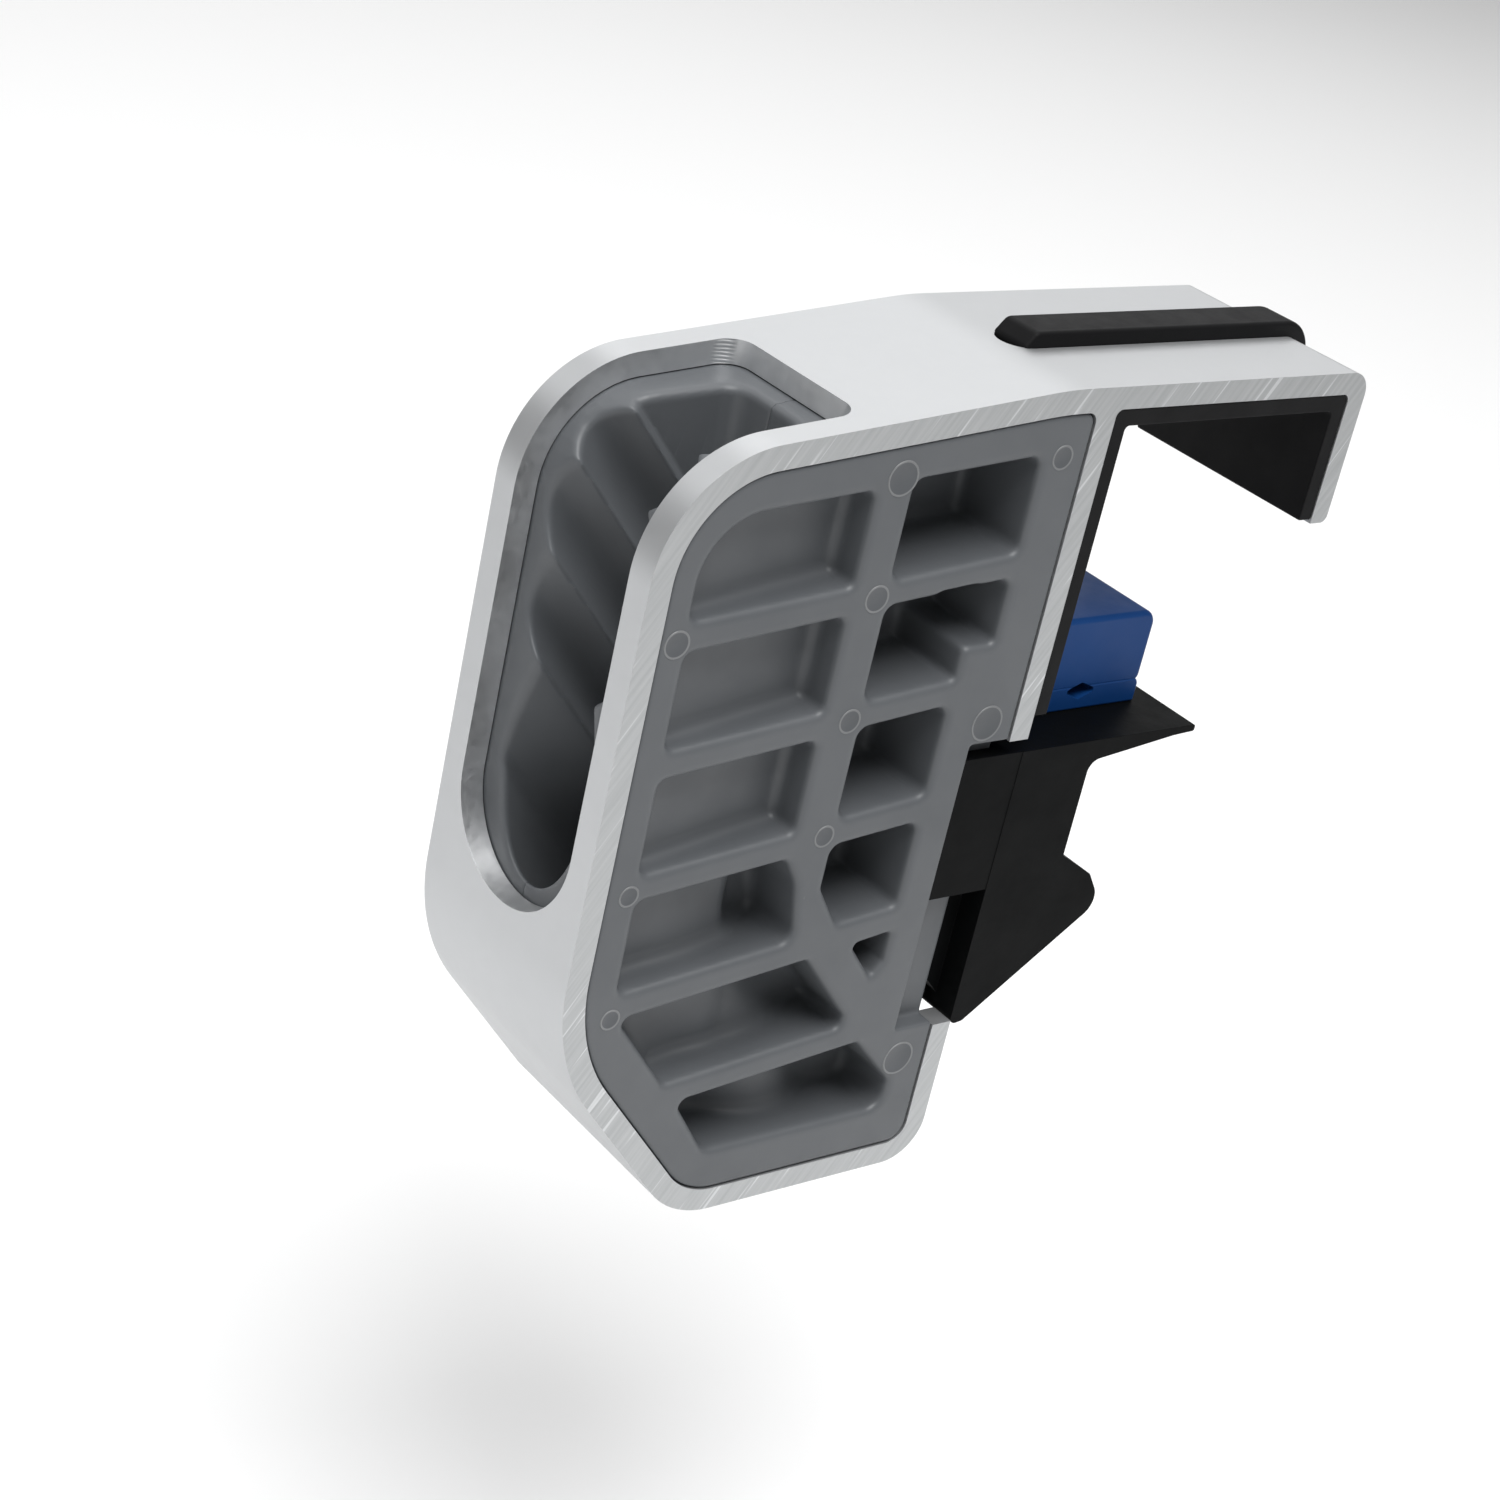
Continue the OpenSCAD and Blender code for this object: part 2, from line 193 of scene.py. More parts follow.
def disc(x, z, radius, count=96):
    return [(x + radius * math.cos(2 * math.pi * k / count), z + radius * math.sin(2 * math.pi * k / count))
            for k in range(count)]


def apply_modifiers(obj):
    bpy.context.view_layer.update()
    evaluated = obj.evaluated_get(bpy.context.evaluated_depsgraph_get())
    mesh = bpy.data.meshes.new_from_object(evaluated)
    obj.modifiers.clear()
    old = obj.data
    obj.data = mesh
    bpy.data.meshes.remove(old)


def combine(obj, others, operation):
    """Boolean of obj with each of the others, which are used up."""
    for other in others:
        modifier = obj.modifiers.new(operation, "BOOLEAN")
        modifier.operation = operation
        modifier.solver = "EXACT"
        modifier.object = other
        apply_modifiers(obj)
        bpy.data.objects.remove(other)
    return obj


def soften(obj, width, angle=30.0, segments=2):
    """Rounds the sharp edges and smooths the shading between them."""
    bm = bmesh.new()
    bm.from_mesh(obj.data)
    bmesh.ops.remove_doubles(bm, verts=bm.verts, dist=0.002)
    bmesh.ops.dissolve_limit(bm, angle_limit=math.radians(0.5), verts=bm.verts, edges=bm.edges)
    bm.to_mesh(obj.data)
    bm.free()
    bevel = obj.modifiers.new("edges", "BEVEL")
    bevel.width = width
    bevel.segments = segments
    bevel.limit_method = "ANGLE"
    bevel.angle_limit = math.radians(angle)
    bevel.use_clamp_overlap = True
    apply_modifiers(obj)
    return shade(obj)


def shade(obj, angle=40.0):
    """Smooth shading with true flat faces and sharp edges."""
    obj.data.shade_smooth()
    obj.data.set_sharp_from_angle(angle=math.radians(angle))
    weighted = obj.modifiers.new("normals", "WEIGHTED_NORMAL")
    weighted.keep_sharp = True
    apply_modifiers(obj)
    return obj


def settle(obj, body, slot_name, *nodes):
    obj.data.transform(Matrix.Translation(SECTION_ORIGIN) @ Matrix.Scale(MM, 4))
    obj.data.update()
    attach(obj, body)
    if nodes:
        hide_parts(*nodes)
    return obj


# ------------------------------------------------------------------- materials

def material(name, **values):
    """A node material; values go on the Principled shader's own sockets."""
    mat = bpy.data.materials.new(name)
    mat.use_nodes = True
    shader = mat.node_tree.nodes["Principled BSDF"]
    for key, value in values.items():
        socket = shader.inputs[key.replace("_", " ")]
        socket.default_value = (*value, 1.0) if isinstance(value, tuple) else value
    return mat, mat.node_tree, shader


def add(tree, kind, **settings):
    node = tree.nodes.new(kind)
    for key, value in settings.items():
        setattr(node, key, value)
    return node


def place_coords(tree, stretch=(1, 1, 1), turn=(0, 0, 0)):
    """Object coordinates, turned and then stretched, so that a texture runs along its stretch."""
    coords = add(tree, "ShaderNodeTexCoord")
    mapping = add(tree, "ShaderNodeMapping", vector_type="TEXTURE")
    mapping.inputs["Scale"].default_value = stretch
    mapping.inputs["Rotation"].default_value = turn
    tree.links.new(coords.outputs["Object"], mapping.inputs["Vector"])
    return mapping.outputs["Vector"]


def noise(tree, vector, scale, detail=4.0, roughness=0.6):
    node = add(tree, "ShaderNodeTexNoise")
    node.inputs["Scale"].default_value = scale
    node.inputs["Detail"].default_value = detail
    node.inputs["Roughness"].default_value = roughness
    tree.links.new(vector, node.inputs["Vector"])
    return node.outputs["Fac"]


def spread(tree, factor, low, high, start=0.3, end=0.7):
    """Maps a 0 to 1 factor onto low to high."""
    node = add(tree, "ShaderNodeMapRange")
    node.inputs["From Min"].default_value = start
    node.inputs["From Max"].default_value = end
    node.inputs["To Min"].default_value = low
    node.inputs["To Max"].default_value = high
    tree.links.new(factor, node.inputs["Value"])
    return node.outputs["Result"]


def tint(tree, factor, dark, light):
    ramp = add(tree, "ShaderNodeValToRGB")
    ramp.color_ramp.elements[0].position = 0.3
    ramp.color_ramp.elements[1].position = 0.7
    ramp.color_ramp.elements[0].color = (*dark, 1)
    ramp.color_ramp.elements[1].color = (*light, 1)
    tree.links.new(factor, ramp.inputs["Fac"])
    return ramp.outputs["Color"]


def bump(tree, height, distance, strength=1.0, under=None):
    node = add(tree, "ShaderNodeBump")
    node.inputs["Distance"].default_value = distance
    node.inputs["Strength"].default_value = strength
    tree.links.new(height, node.inputs["Height"])
    if under is not None:
        tree.links.new(under, node.inputs["Normal"])
    return node.outputs["Normal"]


def satin_aluminium():
    mat, tree, shader = material("satin_aluminium", Metallic=0.8)
    vector = place_coords(tree)
    tree.links.new(tint(tree, noise(tree, vector, 25), (0.525, 0.535, 0.545), (0.54, 0.55, 0.56)),
                   shader.inputs["Base Color"])
    tree.links.new(spread(tree, noise(tree, vector, 400), 0.42, 0.46), shader.inputs["Roughness"])
    tree.links.new(bump(tree, noise(tree, vector, 5000, 2), 0.000004, 0.5), shader.inputs["Normal"])
    return mat


def sawn_aluminium():
    """A saw cut: fine slanting lines, with a few brighter scratches among them."""
    mat, tree, shader = material("sawn_aluminium", Metallic=1.0)
    vector = place_coords(tree, stretch=(1, 1, 30), turn=(0, SAW_LEAN, 0))
    lines = noise(tree, vector, 1800, 2, 0.5)
    scratches = spread(tree, noise(tree, vector, 1500, 1, 0.3), 0, 1, 0.68, 0.74)
    mix = add(tree, "ShaderNodeMix", data_type="RGBA")
    tree.links.new(scratches, mix.inputs["Factor"])
    tree.links.new(tint(tree, lines, (0.40, 0.41, 0.415), (0.51, 0.52, 0.525)), mix.inputs["A"])
    mix.inputs["B"].default_value = (0.63, 0.64, 0.65, 1)
    tree.links.new(mix.outputs["Result"], shader.inputs["Base Color"])
    tree.links.new(spread(tree, lines, 0.36, 0.5), shader.inputs["Roughness"])
    tree.links.new(bump(tree, lines, 0.00003, 0.6), shader.inputs["Normal"])
    return mat


def milled_aluminium():
    """A milled edge, with the cutter's chatter marks in the corners at the slot's end."""
    mat, tree, shader = material("milled_aluminium", Metallic=1.0)
    vector = place_coords(tree)
    split = add(tree, "ShaderNodeSeparateXYZ")
    tree.links.new(vector, split.inputs["Vector"])
    corner = SECTION_ORIGIN.x + (SLOT_END_X - 2.2) * MM
    along = add(tree, "ShaderNodeMath", operation="SUBTRACT")
    tree.links.new(split.outputs["X"], along.inputs[0])
    along.inputs[1].default_value = corner
    distance = add(tree, "ShaderNodeMath", operation="ABSOLUTE")
    tree.links.new(along.outputs["Value"], distance.inputs[0])
    near_corner = spread(tree, distance.outputs["Value"], 1, 0, 0.0006, 0.0014)
    at_side = spread(tree, split.outputs["Y"], 0, 1, 0.0098, 0.0104)
    mask = add(tree, "ShaderNodeMath", operation="MULTIPLY")
    tree.links.new(near_corner, mask.inputs[0])
    tree.links.new(at_side, mask.inputs[1])
    wave = add(tree, "ShaderNodeTexWave", bands_direction="Z")
    wave.inputs["Scale"].default_value = 700
    wave.inputs["Distortion"].default_value = 1.2
    wave.inputs["Detail"].default_value = 1.0
    tree.links.new(vector, wave.inputs["Vector"])
    chatter = add(tree, "ShaderNodeMath", operation="MULTIPLY")
    tree.links.new(wave.outputs["Fac"], chatter.inputs[0])
    tree.links.new(mask.outputs["Value"], chatter.inputs[1])
    mix = add(tree, "ShaderNodeMix", data_type="RGBA")
    tree.links.new(spread(tree, chatter.outputs["Value"], 0, 1, 0.45, 0.8), mix.inputs["Factor"])
    plain = tint(tree, noise(tree, vector, 300), (0.76, 0.77, 0.78), (0.84, 0.85, 0.86))
    tree.links.new(plain, mix.inputs["A"])
    mix.inputs["B"].default_value = (0.93, 0.94, 0.95, 1)
    tree.links.new(mix.outputs["Result"], shader.inputs["Base Color"])
    tree.links.new(spread(tree, noise(tree, vector, 1200), 0.42, 0.52), shader.inputs["Roughness"])
    fine = bump(tree, noise(tree, vector, 1500, 3), 0.00001, 0.5)
    tree.links.new(bump(tree, chatter.outputs["Value"], 0.00006, 1.0, under=fine), shader.inputs["Normal"])
    return mat


def moulded(name, dark, light, rough, grain=1800, depth=0.000012, **extra):
    mat, tree, shader = material(name, **extra)
    vector = place_coords(tree)
    tree.links.new(tint(tree, noise(tree, vector, 45, 3), dark, light), shader.inputs["Base Color"])
    roughness = spread(tree, noise(tree, vector, 240), rough - 0.05, rough + 0.06)
    tree.links.new(roughness, shader.inputs["Roughness"])
    tree.links.new(bump(tree, noise(tree, vector, grain, 3), depth, 0.6), shader.inputs["Normal"])
    return mat


SATIN = satin_aluminium()
SAWN = sawn_aluminium()
MILLED = milled_aluminium()
JAW = moulded("jaw_nylon", (0.094, 0.101, 0.109), (0.108, 0.115, 0.123), 0.46)
MARK = moulded("jaw_pin_mark", (0.078, 0.084, 0.091), (0.088, 0.094, 0.102), 0.5)
# The pin marks' raised rims are the jaw's own plastic; their lighter colour is a painted highlight where the
# rim catches the light.
MARK_RIM_HIGHLIGHT = moulded("jaw_pin_rim_painted_highlight", (0.17, 0.175, 0.18), (0.2, 0.205, 0.21), 0.45)
LINER = moulded("liner_rubber", (0.005, 0.005, 0.0055), (0.008, 0.008, 0.0085), 0.55, 1400, 0.00002,
                Specular_IOR_Level=0.12)
LATCH = moulded("latch_nylon", (0.0025, 0.0028, 0.0030), (0.0036, 0.0039, 0.0041), 0.5, 1500, 0.00002,
                Specular_IOR_Level=0.06)
BUMPER = moulded("bumper_elastomer", (0.004, 0.042, 0.17), (0.006, 0.054, 0.21), 0.45, Specular_IOR_Level=0.2)
STEEL = moulded("screw_steel", (0.50, 0.50, 0.51), (0.60, 0.60, 0.61), 0.3, Metallic=1.0)


# ------------------------------------------------------------------- extrusion

def extrusion():
    """The metal section with its slots and holes, in three finishes."""
    far = HALF_W
    body = prism("body", rounded(CELL_CORNERS, 2.5), -far, far)
    hook = prism("hook", rounded([
        (-5, LIP_Z, 0), (LIP_X, LIP_Z, 1), (LIP_X, HOOK_TOP, 3), (-5, HOOK_TOP, 0)]), -far, far)
    combine(body, [hook], "UNION")
    over = far + 1
    slot = SLOT_W / 2
    rib = RIB_W / 2
    cutters = [
        prism("cell", rounded(inset(CELL_CORNERS, WALL), 2.5), -over, over),
        prism("cavity", rounded([
            (0, -1, 0), (HOOK_GAP, -1, 0), (HOOK_GAP, CAVITY_TOP, 1), (0, CAVITY_TOP, 1)]), -over, over),
        prism("opening", rectangle(-WALL - 0.5, STUB_Z, 1, 0), -over, over),
        prism("slot_top", rounded([
            (-70, -slot, 0), (SLOT_END_X, -slot, 3), (SLOT_END_X, slot, 3), (-70, slot, 0)]), 20, 60, "z"),
        prism("slot_front", [(-slot, 30)] + [(slot * math.cos(a), SLOT_LOW_Z + slot * math.sin(a))
              for a in np.radians(np.linspace(180, 360, 49))] + [(slot, 30)], -70, -CELL_W + WALL + 2, "x"),
        prism("rope_hole", disc(ROPE_HOLE_X, 0, ROPE_HOLE_R), -70, -CELL_DROP + WALL + 1, "z"),
        prism("rib_slot", [(RIB_START_X + rib * math.cos(a), rib * math.sin(a))
              for a in np.radians(np.linspace(90, 270, 33))] + [(60, -rib), (60, rib)],
              CAVITY_TOP - 1, 60, "z"),
        prism("rib_slot_lip", rectangle(HOOK_GAP - 1, RIB_LOW_Z, LIP_X + 1, HOOK_TOP), -rib, rib),
        prism("core_notch", rectangle(-WALL - 1, CORE_LOW - LATCH_TRAVEL - 0.3, 1, STUB_Z + 1),
              -CORE_HALF - 0.6, CORE_HALF + 0.6),
    ]
    combine(body, cutters, "DIFFERENCE")
    soften(body, 0.14)
    paint_metal(body)
    body.name = "extrusion"
    return settle(body, "root", "aluminium", "body_extrusion")


def paint_metal(body):
    """Sawn ends, milled slot walls, and satin everywhere else."""
    for mat in (SATIN, SAWN, MILLED):
        body.data.materials.append(mat)
    for face in body.data.polygons:
        c = face.center
        n = face.normal
        beside_slot = abs(c.y) < SLOT_W / 2 + 0.1 and c.x < SLOT_END_X + 0.1
        in_front_wall = c.x < -CELL_W + WALL + 0.2
        in_bottom_wall = c.z < -CELL_DROP + WALL + 0.2
        by_rope_hole = math.hypot(c.x - ROPE_HOLE_X, c.y) < ROPE_HOLE_R + 0.2
        if abs(c.y) > HALF_W - 0.03 and abs(n.y) > 0.9:
            face.material_index = 1
        elif beside_slot and c.z > 30 and abs(n.z) < 0.15 and (abs(n.y) > 0.25 or c.x > SLOT_END_X - 1):
            face.material_index = 2
        elif beside_slot and in_front_wall and c.z <= 30 and abs(n.x) < 0.15 and abs(n.y) + abs(n.z) > 0.9:
            face.material_index = 2
        elif in_bottom_wall and by_rope_hole and abs(n.z) < 0.15:
            face.material_index = 2


# ------------------------------------------------------------------------ jaws

MOUTH_X = -59.0
MOUTH_HALF = 9.2
END_X = -38.0
END_HALF = 7.3
RIDGE_H = 2.75
LOWEST_RIDGE_H = 3.9
LAND_H = 1.4
RIDGE_PITCH = 12.4
RIDGE_LOW_Z = 7.3
RIDGE_COUNT = 4
RIDGE_ANGLE = math.radians(49)
DUCT_R = 7.6
DUCT_WALL = 2.0
DUCT_TILT = math.radians(40)
DUCT_KNEE_Z = -48.8
FACE_Y = HALF_W - 0.1
VOXEL = 0.25
RIB_SLOPE = 0.1
DRAFT = math.tan(math.radians(2.5))
SCREWS = [(-30.6, 36.4), (-7.3, 3.0), (-26.0, -23.0)]
SCREW_HOLE_R = 2.3
EJECTOR_MARKS = [(-29.8, 21.3, 1.75), (-29.4, 6.0, 1.6), (-29.0, -9.0, 1.5), (-56.7, 18.5, 1.75),
                 (-55.9, -12.5, 1.4), (-54.8, -28.8, 1.4), (-6.7, 36.8, 1.6), (-7.5, 3.0, 2.4),
                 (-30.2, 35.8, 2.2), (-7.5, -44.0, 2.4)]


def smax(a, b, k):
    """The larger of two distances, with the corner between them rounded over k."""
    h = np.maximum(k - np.abs(a - b), 0) / k
    return np.maximum(a, b) + h * h * (k / 4)


def smin(a, b, k):
    return -smax(-a, -b, k)


def outline_distance(corners, x, z):
    """Signed distance to a convex outline with round corners, negative inside."""
    points = rounded(corners, 8)
    distance = np.full(np.broadcast(x, z).shape, -1e3, np.float32)
    for i, a in enumerate(points):
        b = points[(i + 1) % len(points)]
        run = b - a
        length = math.hypot(run[0], run[1])
        if length > 1e-6:
            distance = np.maximum(distance, ((x - a[0]) * run[1] - (z - a[1]) * run[0]) / length)
    return distance


def sloping(x0, x1, top, bottom, r):
    """Corners of a core-out between two sloping ribs, counter-clockwise."""
    rise = RIB_SLOPE * (x1 - x0)
    return [(x0, bottom, r), (x1, bottom + rise, r), (x1, top + rise, r), (x0, top, r)]


def core_outs():
    """(corners, kind) of every core-out in the outside face."""
    shallow = [
        [(-55.4, 20.8, 1.2), (-33.3, 22.9, 1.2), (-33.3, 34.4, 1.2), (-55.4, 32.4, 8)],
        sloping(-55, -33.3, 17.1, 5.2, 1.2),
        sloping(-54.8, -33.3, 1.7, -10.3, 1.2),
    ]
    beside_duct = [
        [(-54.3, -25.8, 1.2), (-29.6, -23.3, 1.8), (-31.4, -15, 6), (-33.6, -11.6, 1.5), (-54.4, -13.7, 1.2)],
        [(-53.4, -29.4, 1), (-44.6, -40.1, 1.3), (-17, -37.4, 1.3), (-26.6, -26.4, 1.3)],
        [(-42.0, -43.1, 1), (-36, -51.4, 2.5), (-8, -51.4, 2.5), (-8, -47.4, 1.5), (-14.9, -40.4, 1.5)],
    ]
    deep = [
        [(-28, 23.1, 1.5), (-9.4, 25, 1.5), (-9.6, 37, 1.5), (-28, 35.3, 1.5)],
        [(-27.7, 8, 1.5), (-14.2, 9.3, 1), (-14.2, 21.3, 1), (-27.7, 20, 1.5)],
        [(-20, 13.5, 0.6), (-9.4, 13.5, 1), (-9.4, 21.8, 1.5), (-20, 20.8, 0.6)],
        sloping(-27.3, -14.2, 4.6, -7.2, 1.5),
        [(-27.1, -16.5, 2), (-23.4, -22, 1.5), (-14.2, -21.1, 1.2), (-14.2, -9.5, 1.5), (-27.1, -10.8, 1.5)],
        [(-20, -25.5, 0.6), (-15.6, -30.8, 0.6), (-14, -28.8, 0.5), (-14, -24.7, 0.6)],
    ]
    return ([(c, "shallow") for c in shallow] + [(c, "beside_duct") for c in beside_duct]
            + [(c, "deep") for c in deep])


def channel_half(x):
    """Half width of the rope channel, without its ridges."""
    return MOUTH_HALF - (MOUTH_HALF - END_HALF) * (x - MOUTH_X) / (END_X - MOUTH_X)


def ridge_height(x, z):
    """Height of the sloping ridges above the channel's wall: scallops that meet in crests."""
    pitch = RIDGE_PITCH * math.cos(RIDGE_ANGLE)
    uphill = (z + math.tan(RIDGE_ANGLE) * (x - MOUTH_X) - RIDGE_LOW_Z) * math.cos(RIDGE_ANGLE)
    height = np.maximum(0.9, LOWEST_RIDGE_H * (1 + uphill / 10.5))
    for k in range(RIDGE_COUNT - 1):
        across = (uphill - (k + 0.5) * pitch) / (pitch / 2)
        low_side = LOWEST_RIDGE_H if k == 0 else RIDGE_H
        scallop = np.where(across < 0, low_side, RIDGE_H) * across * across
        height = smin(height, scallop, 0.5)
    land = np.maximum(LAND_H, RIDGE_H - 1.2 * (uphill - (RIDGE_COUNT - 1) * pitch))
    return smin(height, land, 0.5)


def duct_distance(x, z):
    """Distance in the middle plane to the axis of the rope duct."""
    slope = np.array((-math.sin(DUCT_TILT), math.cos(DUCT_TILT)))
    bend = 9.0
    knee = np.array((ROPE_HOLE_X, DUCT_KNEE_Z))
    points = [knee + 90 * slope]
    for t in np.linspace(0, 1, 7):
        points.append(knee + bend * ((1 - t) ** 2 * slope + t ** 2 * np.array((0, -1))))
    points.append(knee + np.array((0, -40.0)))
    nearest = None
    for a, b in zip(points, points[1:]):
        run = b - a
        t = np.clip(((x - a[0]) * run[0] + (z - a[1]) * run[1]) / (run @ run), 0, 1)
        d = np.hypot(x - a[0] - t * run[0], z - a[1] - t * run[1])
        nearest = d if nearest is None else np.minimum(nearest, d)
    return nearest.astype(np.float32)


def jaw_field(x, y, z, screws):
    """Signed distance of the jaw at Y < 0 on a grid; negative inside the plastic."""
    plan_x = x[:, None, None]
    plan_z = z[None, None, :]
    depth = (y + FACE_Y)[None, :, None]
    inward = -y[None, :, None]
    blank = outline_distance(inset(CELL_CORNERS, WALL + 0.15), plan_x, plan_z)
    field = smax(blank, -depth, 0.35)
    duct = duct_distance(plan_x, plan_z)
    duct_axis = np.sqrt(duct * duct + inward * inward)
    wall = inward - channel_half(plan_x)
    plain_way = smin(smax(wall, plan_x - END_X, 2.2), duct_axis - DUCT_R, 3.0)
    for corners, kind in core_outs():
        sides = outline_distance(corners, plan_x, plan_z) + DRAFT * depth
        if kind == "shallow":
            void = smax(sides, depth - (FACE_Y - 3.2 - channel_half(plan_x)), 1.8)
        elif kind == "beside_duct":
            void = smax(sides, depth - 8.5, 1.6)
            void = smax(void, DUCT_WALL - plain_way, 2.0)
        else:
            void = smax(sides, depth - 11.5, 1.6)
        field = smax(field, -void, 1.1)
    channel = smax((wall + ridge_height(plan_x, plan_z)) * 0.8, plan_x - END_X, 2.4)
    above_duct = ((plan_x - ROPE_HOLE_X) * math.cos(DUCT_TILT) + (plan_z - DUCT_KNEE_Z) * math.sin(DUCT_TILT))
    channel = smax(channel, -above_duct, 1.0)
    rope_way = smin(channel, duct_axis - DUCT_R, 3.0)
    field = smax(field, -rope_way, 1.1)
    field = np.maximum(field, -inward)
    for low_x, half, top in ((-12.9, 4.8, -5.9), (-7.0, 2.8, 10.0)):
        slot = np.maximum(np.maximum(low_x - plan_x, plan_x - top), inward - half)
        slot = np.maximum(np.maximum(slot, plan_z + 2.45), -54 - plan_z)
        field = smax(field, -slot, 0.3)
    recess = smax(np.maximum(-9.2 - plan_x, depth - 2.5), np.maximum(plan_z - 0.2, -39.6 - plan_z), 0.5)
    field = smax(field, -recess, 0.3)
    if screws:
        for sx, sz in SCREWS:
            hole = np.maximum(np.hypot(plan_x - sx, plan_z - sz) - SCREW_HOLE_R, depth - 4.4)
            field = smax(field, -hole, 0.3)
    return field


def surface_net(field, start, step):
    """Vertices and quads of the zero surface of a sampled field."""
    cells = tuple(n - 1 for n in field.shape)
    total = np.zeros((3, int(np.prod(cells))), np.float64)
    count = np.zeros(total.shape[1], np.int32)
    strides = np.array((cells[1] * cells[2], cells[2], 1))
    rings = []
    for axis in range(3):
        lower = np.take(field, range(field.shape[axis] - 1), axis)
        upper = np.take(field, range(1, field.shape[axis]), axis)
        where = np.argwhere((lower < 0) != (upper < 0))
        a = lower[tuple(where.T)]
        b = upper[tuple(where.T)]
        point = where.astype(np.float64)
        point[:, axis] += a / (a - b)
        others = [k for k in range(3) if k != axis]
        inner = np.all([(where[:, k] > 0) & (where[:, k] < cells[k]) for k in others], axis=0)
        where, point, a = where[inner], point[inner], a[inner]
        ring = []
        for du, dv in ((0, 0), (1, 0), (1, 1), (0, 1)):
            cell = where.copy()
            cell[:, others[0]] -= du
            cell[:, others[1]] -= dv
            index = cell @ strides
            ring.append(index)
            count += np.bincount(index, minlength=count.size).astype(np.int32)
            for k in range(3):
                total[k] += np.bincount(index, weights=point[:, k], minlength=count.size)
        ring = np.stack(ring, 1)
        flip = (a < 0) == (axis == 1)
        ring[flip] = ring[flip][:, ::-1]
        rings.append(ring)
    used = np.flatnonzero(count)
    renumber = np.full(count.size, -1, np.int64)
    renumber[used] = np.arange(used.size)
    vertices = (total[:, used] / count[used]).T * step + np.asarray(start)
    return vertices, renumber[np.concatenate(rings)]


def ejector_mark(bm, x, z, radius):
    """A shallow round witness mark with a raised rim, on the outside face."""
    profile = [(0.0, 0.02), (radius - 0.3, 0.02), (radius - 0.2, 0.07), (radius - 0.08, 0.07),
               (radius, -0.05)]
    rings = []
    segments = 40
    centre = bm.verts.new((x, -FACE_Y - profile[0][1], z))
    for r, height in profile[1:]:
        rings.append([bm.verts.new((x + r * math.cos(2 * math.pi * k / segments), -FACE_Y - height,
                                    z + r * math.sin(2 * math.pi * k / segments))) for k in range(segments)])
    for k in range(segments):
        j = (k + 1) % segments
        bm.faces.new((centre, rings[0][k], rings[0][j])).material_index = 1
        for inner, outer in zip(rings, rings[1:]):
            # Rim faces take the lighter rim material: a painted highlight on the raised rim.
            bm.faces.new((inner[k], outer[k], outer[j], inner[j])).material_index = 2
    centre_back = bm.verts.new((x, -FACE_Y + 0.05, z))
    for k in range(segments):
        bm.faces.new((centre_back, rings[-1][(k + 1) % segments], rings[-1][k]))


def jaw(name, node, screws, mirrored):
    """One jaw half: cored outside, ridged inside."""
    low = np.array((-59.6, -FACE_Y - 0.4, -57.8))
    high = np.array((-2.4, 0.6, 43.0))
    counts = np.ceil((high - low) / VOXEL).astype(int) + 1
    x, y, z = (np.float32(low[k]) + np.arange(counts[k], dtype=np.float32) * np.float32(VOXEL)
               for k in range(3))
    vertices, quads = surface_net(jaw_field(x, y, z, screws), low, VOXEL)
    mesh = bpy.data.meshes.new(name)
    mesh.from_pydata(vertices.tolist(), [], quads.tolist())
    obj = bpy.data.objects.new(name, mesh)
    bpy.context.scene.collection.objects.link(obj)
    thin = obj.modifiers.new("thin", "DECIMATE")
    thin.ratio = 0.22
    apply_modifiers(obj)
    bm = bmesh.new()
    bm.from_mesh(obj.data)
    for x, z, radius in EJECTOR_MARKS:
        if not (screws and any(math.dist((x, z), at) < radius + SCREW_HOLE_R for at in SCREWS)):
            ejector_mark(bm, x, z, radius)
    if mirrored:
        bmesh.ops.scale(bm, vec=(1, -1, 1), verts=bm.verts)
        bmesh.ops.reverse_faces(bm, faces=bm.faces)
    bm.to_mesh(obj.data)
    bm.free()
    obj.data.shade_smooth()
    obj.data.set_sharp_from_angle(angle=math.radians(50))
    for mat in (JAW, MARK, MARK_RIM_HIGHLIGHT):
        obj.data.materials.append(mat)
    return settle(obj, "root", "jaw_plastic", node)


# ------------------------------------------------------------------ small parts

def liner():
    """Rubber lining of the hook, with the rib that locks it through the metal."""
    far = HALF_W - 0.1
    inner_top = CAVITY_TOP - LINER_T
    inner_right = HOOK_GAP - LINER_T
    lining = prism("lining", rounded([
        (0, 3, 0.3), (LINER_T, 3, 0.3), (LINER_T, inner_top, 0.6), (inner_right, inner_top, 0.6),
        (inner_right, LIP_Z + 0.5, 0.3), (HOOK_GAP, LIP_Z + 0.5, 0.3), (HOOK_GAP, CAVITY_TOP, 1),
        (0, CAVITY_TOP, 1)]), -far, far)
    soften(lining, 0.2)
    half = RIB_W / 2 - 0.05
    top = HOOK_TOP + RIB_PROUD
    right = LIP_X + RIB_PROUD
    rib = prism("rib", rounded([
        (-4.7, CAVITY_TOP + 0.1, 0), (0, CAVITY_TOP + 0.1, 0), (0, CAVITY_TOP - 1, 0),
        (38, CAVITY_TOP - 1, 0), (38, RIB_LOW_Z + 0.1, 0),
        (right, RIB_LOW_Z + 0.1, 1.5), (right, top, 4.9), (-3.1, top, 1.2),
        (-4.7, HOOK_TOP + 0.1, 0)], 6), -half, half)
    soften(rib, 0.75, segments=4)
    combine(lining, [rib], "UNION")
    shade(lining, 35)
    lining.data.materials.clear()
    lining.data.materials.append(LINER)
    lining.name = "lining"
    return settle(lining, "root", "liner_rubber", "rail_liner")


